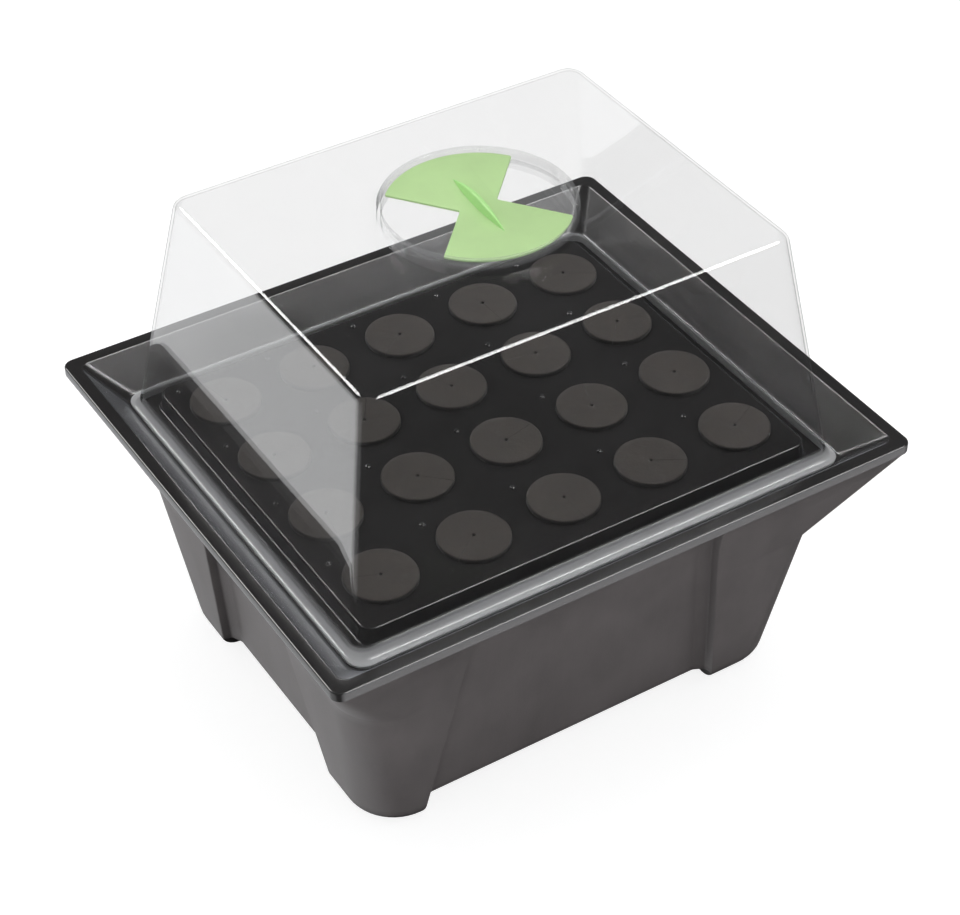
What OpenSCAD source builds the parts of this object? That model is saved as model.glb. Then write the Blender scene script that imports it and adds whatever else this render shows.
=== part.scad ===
// Clear-domed plant propagator: a deep water tank, a plate with twenty foam collars, a vented
// dome, and the pump and spray pipes that mist the roots from below.
// Origin: centre of the footprint, on the floor. +X along the long side, +Z up. Millimetres.

/* [Collar plate] */
// Distance between collar centres
pitch = 70; // [67:0.5:72]
// Diameter of a foam collar
collar_d = 49.6; // [46:0.2:52]
// How far a collar stands above the plate
collar_proud = 3.4; // [2:0.1:5]
// How deep a collar reaches into its hole
collar_depth = 14; // [10:1:18]
// Plate beyond the last collar centres, long way
edge_x = 33.5; // [31:0.5:36]
// Plate beyond the last collar centres, short way
edge_y = 38.5; // [36:0.5:41]
// Height of the plate above the ledge round it
plate_rise = 12; // [8:1:14]
// Distance from the plate's edge to the outside of the rim
rim_reach = 49.2; // [48:0.2:52]
// Thickness of the tray
tray_t = 2.4; // [2:0.1:2.6]

/* [Tank] */
// Height of the rim above the floor
rim_z = 210; // [205:1:225]
// Thickness of the tank wall
tank_t = 2.6; // [2:0.1:3]
// Inward lean of the wall, per millimetre of height
wall_lean = 0.1454; // [0.12:0.01:0.16]
// Corner radius of the tank, seen from above
tank_r = 36; // [30:1:38]
// Depth of the hollow panel in each side
panel_in = 10.5; // [8.5:0.5:12]
// Height of the feet under the tank floor
foot_h = 10; // [6:1:12]
// Rounding of the feet's lower edges
foot_r = 12; // [12:1:16]

/* [Dome] */
// Height of the dome above the ledge it stands on
dome_h = 176.6; // [140:0.2:200]
// Inward lean of the dome wall, per millimetre of height
dome_lean = 0.161; // [0.1:0.01:0.18]
// Thickness of the dome
dome_t = 1.8; // [1.5:0.1:2.2]

/* [Vent] */
// Outer radius of the raised vent ring
vent_r = 65.5; // [60:0.5:68]
// Height of the vent ring above the dome
vent_h = 12.4; // [11:0.2:14]
// Angle that each wing of the shutter spans
wing_angle = 100; // [94:1:106]
// Length of the finger ridge on the shutter
ridge_l = 68; // [60:1:80]

/* [Spray pipes] */
// Height of the spray pipes above the floor
pipe_z = 118; // [110:1:125]
// Distance from the middle to each cross pipe
cross_x = 80; // [75:1:88]
// Reach of the cross pipes to each side
cross_y = 118; // [112:1:120]

/* [Hidden] */
COLS = 5;
ROWS = 4;
SITES = [for (c = [1 : COLS]) for (r = [1 : ROWS]) [c, r]];

CORNERS = [[1, 1], [-1, 1], [-1, -1], [1, -1]];
arc_n = 8;      // steps in a quarter turn of a moulded corner
run = 0.05;     // radial clearance of a turning or sliding fit
eps = 0.01;

plate_hx = (COLS - 1) / 2 * pitch + edge_x;
plate_hy = (ROWS - 1) / 2 * pitch + edge_y;
rim_hx = plate_hx + rim_reach;
rim_hy = plate_hy + rim_reach;
rim_r = 8;

// Tray: levels, and insets from the outside of the rim
ledge_z = rim_z - 24;
plate_z = ledge_z + plate_rise;
seat_z = rim_z - tray_t;
skirt_z = rim_z - 7;
skirt_t = 2.5;
lip_in = 9.5;
slope_in = 30.8;
plate_r = 9;
nub_at = [-21.5, 29];       // a small raised nub beside each collar hole
nub_r = 2.2;
nub_h = 1.3;

// Collars
collar_r = collar_d / 2;
hole_r = collar_r - 1.3;
stem_r = 1.5;
slit_w = 0.8;

// Tank
flare_z = 125;              // where the corners start to flare out to the rim
flare_top_z = skirt_z - 0.6;
flare_in = 0.8;
upstand_in = skirt_t + 0.8;
cove_power = 3.8;           // how late the flat sides curve out, compared with the corners
panel_full_z = 170;
panel_lip_z = 196;          // above this the panel runs out into the rim
panel_lip_in = 7.6;
panel_step = 9.5;
panel_shift = -11;          // the long sides' panels sit off centre
side_bow = 0.05;            // slight outward bow of every side
panel_hx_top = 96;
panel_hx_floor = 121;
panel_hy_top = 48;
panel_hy_floor = 79;
pan_z = foot_h + tank_t;

// Dome
dome_z = ledge_z;
dome_top_z = dome_z + dome_h;
dome_hx = rim_hx - 35.2;
dome_hy = rim_hy - 37.9;
dome_r = 11;
dome_edge = 5;
flange_in = 31.7;
flange_t = 2.2;
foot_cove = [[-2.4, 0], [-1, 1.8], [-0.3, 4], [0, 6.5]];    // outward reach and height

// Vent
vent_wall = 1.9;
vent_top_z = dome_top_z + vent_h;
vent_seat_z = dome_top_z + 7.6;
vent_seat_t = 1.8;
opening_angle = wing_angle - 10;
opening_in = 20;
opening_out = vent_r - 9.5;
shutter_r = vent_r - 4;
shutter_z = vent_seat_z + 0.2;
shutter_t = 1.6;
gap_tip = 13.5;             // how near the gaps between the wings come to the middle
shutter_turn = -3;
ridge_w = 6.4;
ridge_h = 6.6;
pivot_r = 4;
clip_t = 2;
clip_top = vent_seat_z - vent_seat_t - 0.3;

// Pump, in its own frame: X is the rotor axis, with the motor towards -X
body_x = [-65, -12];
body_y = 23;
body_z = [-18, 34];
shell_t = 2.5;
well_r = 9;
well_x = -51.5;
well_t = 1.5;
shaft_r = 1.5;
magnet_r = 8;
magnet_x = [-47.5, -13];
chamber_r = 14.8;
chamber_x = 1;
cover_x = 5;
cover_top = 24;
blade_r = 13;
blades = 6;
groove_r = [15.6, 17.4];
groove_d = 1.2;
outlet_at = [-4.5, 8];
outlet_r = 7;
outlet_bore = 5;
outlet_top = 44;
valve_z = 28.5;
grille_x = [5.2, 25];
grille_y = 22;
grille_z = [-18, 23];
grille_t = 2;
cup_h = 3;
cups = [for (x = [-58, -20]) for (y = [-15, 15]) [x, y]];
pump_at = [-outlet_at[0], -outlet_at[1], pan_z + cup_h - body_z[0]];

// Pipes
pipe_r = 8;
pipe_bore = 6.3;
sleeve_r = 10.4;
sleeve_l = 26;
socket_l = 12;
riser_r = [outlet_r + run, 8.6];
riser_z = [pump_at[2] + 34.5, pipe_z - 12];
nozzle_y = [50, 96];
nozzle_r = 3;
nozzle_seat = pipe_z + pipe_r + 0.2;

// Power cable, tied in a hank behind the tank
cable_r = 3;
grommet_z = 140;
grommet_x = -40;
grommet_y = rim_hy - wall_in(grommet_z) - panel_in - tank_t / 2;
grommet_bore = 6.5;
wall_tilt = atan(wall_lean);
hank_at = [8, 153, 104];
hank_r = [48, 26];
hank_step = 7;
plug_at = [grommet_x, hank_at[1] + 2 * hank_step, 27];
plug_h = 35;
plug_t = 13.7;
pin_r = 2;
pin_l = 19;
pin_tip = 9.2;              // bare metal; above it each pin has a moulded sleeve
pin_core_r = 1.3;
pin_sleeve_r = 1.75;
pin_gap = 18.6;
pin_root = 3;

function site_name(s) = str("collar_", chr(96 + s[1]), s[0]);
function site_at(s) = [(s[0] - (COLS + 1) / 2) * pitch, (s[1] - (ROWS + 1) / 2) * pitch];
function mix(a, b, t) = a * (1 - t) + b * t;
function unit(v) = v / norm(v);

// ---- Levels and lofts ----

// The four corner arcs of a rounded rectangle, hx and hy being half its length and width
function corner_arcs(hx, hy, r, z) = [
    for (q = [0 : 3]) [
        for (k = [0 : arc_n])
            let (a = 90 * (q + k / arc_n))
            [CORNERS[q][0] * (hx - r) + r * cos(a), CORNERS[q][1] * (hy - r) + r * sin(a), z]
    ]
];

// One level of a rounded rectangle
function ring(hx, hy, r, z) = [for (arc = corner_arcs(hx, hy, r, z)) each arc];

// A level that lies a given inset inside the rim
function inset(d, r, z) = ring(rim_hx - d, rim_hy - d, r, z);

// A closed solid through a list of levels that all have the same number of points.
// The first level is closed facing down and the last facing up.
module loft(levels) {
    n = len(levels[0]);
    m = len(levels);
    sides = [
        for (i = [0 : m - 2]) for (j = [0 : n - 1])
            let (a = i * n + j, b = i * n + (j + 1) % n)
            each [[a, a + n, b + n], [a, b + n, b]]
    ];
    caps = [[for (j = [0 : n - 1]) j], [for (j = [n - 1 : -1 : 0]) (m - 1) * n + j]];
    polyhedron(points = [for (l = levels) each l], faces = concat(sides, caps), convexity = 8);
}

module rod(r, h) {
    cylinder(r = r, h = h, $fn = 48);
}

module tube(r_out, r_in, h) {
    difference() {
        rod(r_out, h);
        translate([0, 0, -1]) rod(r_in, h + 2);
    }
}

// A box between two opposite corners
module block(low, high) {
    translate(low) cube(high - low);
}

// Turns the Z axis onto +X, or onto +Y
module along_x() {
    rotate([0, 90, 0]) children();
}

module along_y() {
    rotate([-90, 0, 0]) children();
}

// ---- Tank ----

function wall_in(z) = 26.4 + wall_lean * (rim_z - 25 - z);
function flare_at(z) = max(0, (z - flare_z) / (flare_top_z - flare_z));
function side_in(z) = wall_in(z) - (wall_in(flare_top_z) - flare_in) * pow(flare_at(z), cove_power);
function corner_in(z) = z < flare_z ? wall_in(z) : mix(wall_in(flare_z), flare_in, flare_at(z));
function corner_r(z) = mix(tank_r, rim_r, flare_at(z));
function foot_in(z) = z < foot_r ? foot_r - sqrt(foot_r * foot_r - pow(foot_r - z, 2)) : 0;

// Half width and depth of a panel's edge: a steep step, curving into the flat of the panel
function panel_edge(half, cut) =
    let (
        step = [
            [half, -side_bow],
            [half - 0.2 * panel_step, 0.62 * cut - 1.05 * side_bow],
            [half - panel_step, cut - 1.1 * side_bow]
        ]
    )
    [for (p = step) p, for (i = [2 : -1 : 0]) [-step[i][0], step[i][1]]];

function panel_cut(z) =
    z < 3 || z > flare_top_z - 1 ? 0
    : z > panel_full_z + 12 ? panel_lip_in
    : z > panel_full_z ? mix(panel_in, panel_lip_in, (z - panel_full_z) / 12)
    : panel_in;

// One level of the tank: corner arcs, and between them flat sides with a panel set in by cut
function tank_ring(d_side, d_corner, r, z, cut, grow) =
    let (
        hx = rim_hx - d_side,
        hy = rim_hy - d_side,
        px_most = rim_hx - d_corner - r + panel_shift - 0.5,
        px = min(mix(panel_hx_floor, panel_hx_top, z / 180) + grow, px_most),
        py = mix(panel_hy_floor, panel_hy_top, z / 180) + grow,
        turn = corner_arcs(rim_hx - d_corner, rim_hy - d_corner, r, z),
        across = panel_edge(px, cut),
        down = panel_edge(py, cut)
    )
    concat(
        turn[0], [for (p = across) [panel_shift + p[0], hy - p[1], z]],
        turn[1], [for (p = down) [p[1] - hx, p[0], z]],
        turn[2], [for (p = across) [panel_shift - p[0], p[1] - hy, z]],
        turn[3], [for (p = down) [hx - p[1], -p[0], z]]
    );

// The tank's form, t inside its outer face, from the level low up to the rim
module tank_form(t, low, top) {
    wall = [
        for (z = [low, 3, 6, 9, foot_r, flare_z, 150, panel_full_z, panel_full_z + 12, 189, panel_lip_z])
            let (foot = foot_in(max(z - t, 0)), r = corner_r(z) - foot - t)
            if (z >= low)
            tank_ring(side_in(z) + foot + t, corner_in(z) + foot + t, r, z, panel_cut(z), 0.8 * t)
    ];
    edge_in = t > 0 ? upstand_in + t : flare_in;
    flare = tank_ring(edge_in, edge_in, rim_r - t, flare_top_z, 0, 0);
    neck = tank_ring(upstand_in + t, upstand_in + t, rim_r - skirt_t - t, flare_top_z + 0.2, 0, 0);
    rim = tank_ring(upstand_in + t, upstand_in + t, rim_r - skirt_t - t, top, 0, 0);
    loft(concat(wall, [flare, neck, rim]));
}

// The raised middle of the floor: all but the four corner feet
module floor_cross(grow, z_top) {
    block(
        [panel_shift - panel_hx_floor - grow, -rim_hy, -1],
        [panel_shift + panel_hx_floor + grow, rim_hy, z_top]
    );
    block([-rim_hx, -panel_hy_floor - grow, -1], [rim_hx, panel_hy_floor + grow, z_top]);
}

// Puts its children on the cable's hole through the back wall, with +Z pointing outwards
module at_grommet() {
    translate([grommet_x, grommet_y, grommet_z]) rotate([-90 - wall_tilt, 0, 0]) children();
}

module tank() {
    color([0.34, 0.33, 0.33]) difference() {
        tank_form(0, 0, seat_z);
        floor_cross(0, foot_h);
        difference() {
            tank_form(tank_t, tank_t, seat_z + 5);
            floor_cross(tank_t, pan_z);
        }
        at_grommet() translate([0, 0, -15]) rod(grommet_bore, 30);
    }
}

// ---- Collar plate and collars ----

module tray() {
    plate_in = rim_reach;
    under = tray_t;
    color([0.17, 0.17, 0.18]) {
        difference() {
            loft([
                inset(plate_in + 3.2, plate_r - 2, plate_z - under),
                inset(plate_in + 1.4, plate_r - 2, ledge_z - under),
                inset(slope_in - 0.9, 12, ledge_z - under),
                inset(8.4, 8, seat_z),
                inset(skirt_t, rim_r - skirt_t, seat_z),
                inset(skirt_t, rim_r - skirt_t, skirt_z),
                inset(0, rim_r, skirt_z),
                inset(0, rim_r, rim_z - 1),
                inset(1, rim_r - 1, rim_z),
                inset(lip_in, 7, rim_z),
                inset(slope_in, 11, ledge_z),
                inset(plate_in - 1.2, plate_r + 1, ledge_z),
                inset(plate_in - 0.4, plate_r + 0.4, plate_z - 1),
                inset(plate_in + 0.6, plate_r - 0.6, plate_z)
            ]);
            for (s = SITES) {
                translate([site_at(s)[0], site_at(s)[1], ledge_z]) rod(hole_r, plate_rise + 1);
            }
        }
        for (s = SITES) {
            translate([site_at(s)[0] + nub_at[0], site_at(s)[1] + nub_at[1], plate_z - 1])
            rod(nub_r, nub_h + 1);
        }
    }
}

// A foam collar: a plug with a wider head, a stem hole, and a slit from the hole to the edge
module collar(s) {
    body_r = hole_r - 0.2;
    low = -collar_depth;
    at = site_at(s);
    color([0.29, 0.27, 0.25]) translate([at[0], at[1], plate_z]) rotate([0, 0, 57 * s[0] + 101 * s[1]])
    difference() {
        rotate_extrude($fn = 64) polygon([
            [stem_r, low], [body_r - 1.2, low], [body_r, low + 2], [body_r, 0],
            [collar_r, 0], [collar_r, collar_proud - 0.8], [collar_r - 0.8, collar_proud],
            [stem_r, collar_proud]
        ]);
        block([0, -slit_w / 2, low - 1], [collar_r + 1, slit_w / 2, collar_proud + 1]);
    }
}

// ---- Dome and vent ----

// One level of the dome, e inside the plane of its wall
function dome_ring(e, r, z) =
    let (lean = dome_lean * (z - dome_z))
    ring(dome_hx - lean - e, dome_hy - lean - e, r, z);

// The rounded top edge, t inside the outer face
function dome_bend(t, a) =
    let (r = dome_edge - t)
    dome_ring(dome_edge - r * sin(a), dome_r - t, dome_top_z - dome_edge + r * cos(a));

module dome() {
    color([0.9, 0.93, 0.95, 0.35]) difference() {
        union() {
            difference() {
                loft(concat(
                    [for (a = [0 : 30 : 90]) dome_bend(dome_t, a)],
                    [dome_ring(dome_t, dome_r - dome_t, dome_z)],
                    [inset(flange_in, dome_r + 1, dome_z)],
                    [inset(flange_in, dome_r + 1, dome_z + flange_t)],
                    [for (p = foot_cove) dome_ring(p[0], dome_r, dome_z + flange_t + p[1])],
                    [for (a = [90 : -30 : 0]) dome_bend(0, a)]
                ));
                translate([0, 0, dome_top_z - 4]) rod(vent_r - vent_wall, 6);
            }
            vent_ring();
        }
        for (turn = [90, 270]) {
            rotate([0, 0, turn - opening_angle / 2])
            rotate_extrude(angle = opening_angle, $fn = 96)
            translate([opening_in, vent_seat_z - 4]) square([opening_out - opening_in, 6]);
        }
    }
}

// The raised ring, with a seat for the shutter and a hole for its pivot
module vent_ring() {
    r = vent_r - vent_wall;
    rotate_extrude($fn = 96) polygon([
        [r, dome_top_z - dome_t], [vent_r, dome_top_z - dome_t], [vent_r, vent_top_z - 0.6],
        [vent_r - 0.6, vent_top_z], [r - 0.2, vent_top_z], [r - 0.8, vent_top_z - 0.6],
        [r - 0.8, vent_seat_z], [pivot_r + run, vent_seat_z],
        [pivot_r + run, vent_seat_z - vent_seat_t], [r, vent_seat_z - vent_seat_t]
    ]);
}

module vent_shutter() {
    ridge_round = (pow(ridge_l / 2, 2) + pow(ridge_w / 2, 2)) / ridge_w;
    ridge_off = ridge_round - ridge_w / 2;
    arch_rise = ridge_h + shutter_t / 3;
    arch_r = (pow(ridge_l / 2, 2) + pow(arch_rise, 2)) / (2 * arch_rise);
    blade_h = shutter_t / 2 + ridge_h;
    stub_h = 5;
    gap_half = 90 - wing_angle / 2;
    edge = shutter_r * [cos(gap_half), sin(gap_half)] - [gap_tip, 0];
    reach = [gap_tip, 0] + 2 * edge;
    color([0.66, 0.86, 0.52]) translate([0, 0, shutter_z]) rotate([0, 0, shutter_turn]) {
        difference() {
            cylinder(r = shutter_r, h = shutter_t, $fn = 96);
            for (turn = [0, 180]) {
                rotate([0, 0, turn]) translate([0, 0, -1]) linear_extrude(shutter_t + 2)
                polygon([[gap_tip, 0], [reach[0], -reach[1]], [reach[0], reach[1]]]);
            }
        }
        intersection() {
            translate([ridge_off, 0, shutter_t / 2]) cylinder(r = ridge_round, h = blade_h, $fn = 128);
            translate([-ridge_off, 0, shutter_t / 2]) cylinder(r = ridge_round, h = blade_h, $fn = 128);
            translate([-ridge_w, 0, shutter_t + ridge_h - arch_r]) along_x()
            cylinder(r = arch_r, h = 2 * ridge_w, $fn = 128);
        }
        translate([0, 0, -stub_h]) rod(pivot_r, stub_h + eps);
    }
}

module vent_clip() {
    color([0.8, 0.85, 0.82]) translate([0, 0, clip_top - clip_t]) tube(9, pivot_r, clip_t);
}

// ---- Pump ----

module at_pump() {
    translate(pump_at) children();
}

module at_outlet(z) {
    translate([outlet_at[0], outlet_at[1], z]) children();
}

module pump_body() {
    inner_x = [body_x[0] + shell_t, body_x[1] - shell_t];
    inner_y = body_y - shell_t;
    gland_z = 24;
    color([0.1, 0.1, 0.11]) at_pump() difference() {
        union() {
            difference() {
                block([body_x[0], -body_y, body_z[0]], [body_x[1], body_y, body_z[1]]);
                block(
                    [inner_x[0], -inner_y, body_z[0] + shell_t],
                    [inner_x[1], inner_y, body_z[1] - shell_t]
                );
            }
            translate([well_x - well_t, 0, 0]) along_x() rod(well_r + well_t, inner_x[1] - well_x + 2);
            translate([body_x[0] - 7, 0, gland_z]) along_x() rod(5, 8);
        }
        translate([well_x, 0, 0]) along_x() rod(well_r, body_x[1] - well_x + 1);
        translate([body_x[1] - groove_d, 0, 0]) along_x() tube(groove_r[1], groove_r[0], groove_d + 1);
        translate([body_x[0] - 8, 0, gland_z]) along_x() rod(cable_r + run, 12);
        for (c = cups) translate([c[0], c[1], body_z[0] - 1]) rod(2.2, 2.8);
    }
}

module motor_core() {
    color([0.45, 0.45, 0.47]) at_pump() {
        block([-45, -17.2, 20], [-25, 17.2, 27]);
        for (side = [-1, 1]) {
            block([-45, side * 14.2 - 3, -9], [-25, side * 14.2 + 3, 20 + eps]);
        }
    }
}

module motor_coil() {
    color([0.72, 0.42, 0.2]) at_pump() difference() {
        block([-50, -10.6, 15.5], [-20, 10.6, 31.2]);
        block([-45.2, -12, 19.8], [-24.8, 12, 27.2]);
    }
}

module rotor_shaft() {
    color([0.92, 0.91, 0.87]) at_pump() translate([-51, 0, 0]) along_x() rod(shaft_r, 53.5);
}

module rotor_magnet() {
    color([0.22, 0.2, 0.2]) at_pump() translate([magnet_x[0], 0, 0])
    along_x() tube(magnet_r, shaft_r + run, magnet_x[1] - magnet_x[0]);
}

module impeller() {
    color([0.2, 0.35, 0.6]) at_pump() difference() {
        union() {
            translate([magnet_x[1], 0, 0]) along_x() rod(4.5, 11.5);
            translate([-10.4, 0, 0]) along_x() rod(blade_r, 1.2);
            for (k = [0 : blades - 1]) {
                rotate([360 / blades * k, 0, 0]) block([-9.3, -0.6, 3], [-2, 0.6, blade_r - 0.3]);
            }
        }
        translate([-20, 0, 0]) along_x() rod(shaft_r + run, 30);
    }
}

module rear_bush() {
    color([0.15, 0.15, 0.15]) at_pump() translate([well_x, 0, 0]) along_x() difference() {
        rod(well_r, 3);
        translate([0, 0, 0.5]) rod(shaft_r, 4);
    }
}

module front_bush() {
    color([0.15, 0.15, 0.15]) at_pump() translate([-0.5, 0, 0]) along_x() tube(2.8, shaft_r, 4);
}

module volute_cover() {
    color([0.12, 0.12, 0.13]) at_pump() difference() {
        union() {
            difference() {
                union() {
                    block([body_x[1], -body_y, body_z[0]], [cover_x, body_y, cover_top]);
                    at_outlet(cover_top - 1) rod(outlet_r, outlet_top - cover_top + 1);
                }
                translate([body_x[1] - 1, 0, 0]) along_x() rod(chamber_r, chamber_x - body_x[1] + 1);
                translate([chamber_x - 0.6, 0, 0]) along_x() rod(8, cover_x + 1);
                at_outlet(0) rod(outlet_bore, outlet_top + 1);
            }
            translate([0.5, 0, 0]) along_x() rod(4.5, cover_x - 0.8);
            for (k = [0 : 2]) {
                rotate([120 * k, 0, 0]) block([chamber_x + 0.4, -0.9, 4], [cover_x - 0.6, 0.9, 8.5]);
            }
        }
        translate([-1, 0, 0]) along_x() rod(2.8, cover_x + 2);
        at_outlet(valve_z) translate([-8, 0, 0]) along_x() rod(shaft_r + run, 16);
    }
}

module volute_seal() {
    color([0.08, 0.08, 0.08]) at_pump() translate([body_x[1] - groove_d / 2, 0, 0]) along_x()
    rotate_extrude($fn = 64) translate([(groove_r[0] + groove_r[1]) / 2, 0]) circle(r = 0.58, $fn = 24);
}

// A butterfly disc in the outlet, on a stem with a ribbed knob
module flow_knob() {
    color([0.75, 0.2, 0.15]) at_pump() at_outlet(valve_z) {
        translate([0, -0.6, 0]) along_y() rod(outlet_bore - 0.3, 1.2);
        translate([-6.5, 0, 0]) along_x() rod(shaft_r, 15.5);
        translate([7.6, 0, 0]) along_x() rod(4, 6);
        block([8, -0.9, 0], [13, 0.9, 4.6]);
    }
}

module intake_grille() {
    slots = 5;
    step = 6.4;
    color([0.1, 0.1, 0.11]) at_pump() difference() {
        block([grille_x[0], -grille_y, grille_z[0]], [grille_x[1], grille_y, grille_z[1]]);
        block(
            [grille_x[0] - 1, -grille_y + grille_t, grille_z[0] + grille_t],
            [grille_x[1] - grille_t, grille_y - grille_t, grille_z[1] - grille_t]
        );
        for (k = [0 : slots - 1]) {
            y = (k - (slots - 1) / 2) * step;
            block([grille_x[1] - 4, y - 1.3, -12], [grille_x[1] + 1, y + 1.3, 17]);
        }
    }
}

module intake_foam() {
    fit = grille_t + 0.3;
    color([0.2, 0.22, 0.3]) at_pump() block(
        [grille_x[0] + 4, fit - grille_y, grille_z[0] + fit],
        [grille_x[1] - fit, grille_y - fit, grille_z[1] - fit]
    );
}

module suction_feet() {
    color([0.12, 0.12, 0.12]) at_pump() for (c = cups) {
        translate([c[0], c[1], body_z[0]]) rotate_extrude($fn = 48) polygon([
            [0, -1.2], [5.6, -cup_h], [6.5, -cup_h], [6.5, -cup_h + 0.6], [3.5, 0],
            [2.2, 0], [2.2, 1.6], [0, 1.6]
        ]);
    }
}

// ---- Spray pipes ----

module riser_pipe() {
    color([0.16, 0.16, 0.17]) translate([0, 0, riser_z[0]])
    tube(riser_r[1], riser_r[0], riser_z[1] - riser_z[0]);
}

// Pipe sockets at both ends of a sleeve that lies along Z, centred on the origin
module sleeve_bores() {
    translate([0, 0, -sleeve_l - 1]) rod(pipe_bore, 2 * sleeve_l + 2);
    for (side = [0, 180]) {
        rotate([side, 0, 0]) translate([0, 0, sleeve_l - socket_l]) rod(pipe_r + run, socket_l + 1);
    }
}

module manifold_hub() {
    foot = pipe_z - 20;
    color([0.13, 0.13, 0.14]) difference() {
        union() {
            translate([0, 0, foot]) rod(11.5, pipe_z - foot + 13);
            translate([-sleeve_l, 0, pipe_z]) along_x() rod(sleeve_r, 2 * sleeve_l);
        }
        translate([0, 0, foot - 1]) rod(riser_r[1] + run, riser_z[1] - foot + 1);
        translate([0, 0, foot]) rod(pipe_bore, pipe_z - foot);
        translate([0, 0, pipe_z]) along_x() sleeve_bores();
    }
}

// A tee that feeds one cross pipe each way; side is -1 on the left and 1 on the right
module branch_tee(side) {
    color([0.13, 0.13, 0.14]) translate([side * cross_x, 0, pipe_z])
    rotate([0, 0, side > 0 ? 0 : 180]) difference() {
        union() {
            translate([0, -sleeve_l, 0]) along_y() rod(sleeve_r, 2 * sleeve_l);
            translate([-sleeve_l, 0, 0]) along_x() rod(sleeve_r, sleeve_l);
        }
        along_y() sleeve_bores();
        translate([-sleeve_l - 1, 0, 0]) along_x() rod(pipe_bore, sleeve_l + 1);
        translate([-sleeve_l - 1, 0, 0]) along_x() rod(pipe_r + run, socket_l + 1);
    }
}

module main_pipe(side) {
    start = sleeve_l - socket_l + 0.2;
    end = cross_x - sleeve_l + socket_l - 0.2;
    color([0.16, 0.16, 0.17]) translate([side > 0 ? start : -end, 0, pipe_z])
    along_x() tube(pipe_r, pipe_bore, end - start);
}

module cross_pipe(side_x, side_y) {
    start = sleeve_l - socket_l + 0.2;
    color([0.16, 0.16, 0.17]) difference() {
        translate([side_x * cross_x, side_y > 0 ? start : -cross_y, pipe_z])
        along_y() tube(pipe_r, pipe_bore, cross_y - start);
        for (y = nozzle_y) {
            translate([side_x * cross_x, side_y * y, pipe_z]) rod(nozzle_r + run, 12);
        }
    }
}

module end_caps() {
    color([0.13, 0.13, 0.14]) for (sx = [-1, 1]) for (turn = [0, 180]) {
        translate([sx * cross_x, 0, pipe_z]) rotate([0, 0, turn]) translate([0, cross_y - 10, 0])
        along_y() difference() {
            rod(pipe_r + 1.8, 12.4);
            translate([0, 0, -1]) rod(pipe_r + run, 11.2);
        }
    }
}

// Spray jets pushed into the tops of the cross pipes
module spray_nozzles() {
    color([0.75, 0.2, 0.15]) for (sx = [-1, 1]) for (sy = [-1, 1]) for (y = nozzle_y) {
        translate([sx * cross_x, sy * y, nozzle_seat]) difference() {
            union() {
                translate([0, 0, -2]) rod(nozzle_r, 2.5);
                cylinder(r = 5.2, h = 4.6, $fn = 6);
                translate([0, 0, 4]) rod(2.6, 3.6);
            }
            translate([0, 0, -3]) rod(0.8, 9.5);
            block([-0.5, -3, 6.2], [0.5, 3, 8]);
        }
    }
}

// ---- Power cable ----

// A smooth path through a list of points, with steps between each pair
function spline(p, steps) = [
    for (i = [0 : len(p) - 2]) for (k = [0 : steps - 1])
        let (
            a = p[max(i - 1, 0)],
            b = p[i],
            c = p[i + 1],
            d = p[min(i + 2, len(p) - 1)],
            t = k / steps
        )
        b + (c - a) / 2 * t + (a - 2.5 * b + 2 * c - d / 2) * t * t
            + (1.5 * b - a / 2 - 1.5 * c + d / 2) * t * t * t
];

function path_dir(p, i) = unit(p[min(i + 1, len(p) - 1)] - p[max(i - 1, 0)]);
function square_to(v, dir) = unit(v - (v * dir) * dir);

// Round section of radius r carried along a path without twisting
function cable_levels(p, r, n) =
    let (
        sides = [
            for (
                i = 0, s = square_to([0, 0, 1], path_dir(p, 0));
                i < len(p);
                i = i + 1, s = i < len(p) ? square_to(s, path_dir(p, i)) : s
            ) s
        ]
    )
    [
        for (i = [0 : len(p) - 1])
            let (s = sides[i], w = cross(path_dir(p, i), s))
            [for (k = [0 : n - 1]) p[i] + r * (s * cos(360 / n * k) + w * sin(360 / n * k))]
    ];

// Points round the hank: two turns, each a step further from the tank
function hank_points() = [
    for (a = [180 : 45 : 900])
        hank_at + [hank_r[0] * cos(a), hank_step * (a - 180) / 360, hank_r[1] * sin(a)]
];

function out_of_wall(reach) =
    [grommet_x, grommet_y, grommet_z] + reach * [0, cos(wall_tilt), -sin(wall_tilt)];

function cable_path() = concat(
    [for (p = [[-60, 0], [-66, 0], [-72, 0], [-78, 0], [-90, 4], [-106, 24], [-110, 66], [-86, 112]])
        pump_at + [p[0], p[1], 24 - 0.16 * max(0, p[1])]],
    [[grommet_x - 10, 124, 66], [grommet_x, 130, 100], [grommet_x, 132, 125]],
    [for (reach = [-9, -3, 3, 9]) out_of_wall(reach)],
    [[grommet_x, 160.5, 129]],
    hank_points(),
    [plug_at + [0, 0, 56], plug_at + [0, 0, 40], plug_at + [0, 0, plug_h - 4]]
);

module power_cable() {
    path = spline(cable_path(), 4);
    color([0.06, 0.06, 0.06]) loft(cable_levels(path, cable_r, 10));
}

module cable_grommet() {
    lip = 1.7;
    color([0.05, 0.05, 0.05]) at_grommet() rotate_extrude($fn = 48) polygon([
        [cable_r + 0.4, -lip - 1.6], [9, -lip - 1.6], [9, -lip], [grommet_bore - 0.2, -lip],
        [grommet_bore - 0.2, lip], [9, lip], [9, lip + 1.6], [cable_r + 0.4, lip + 1.6]
    ]);
}

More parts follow.
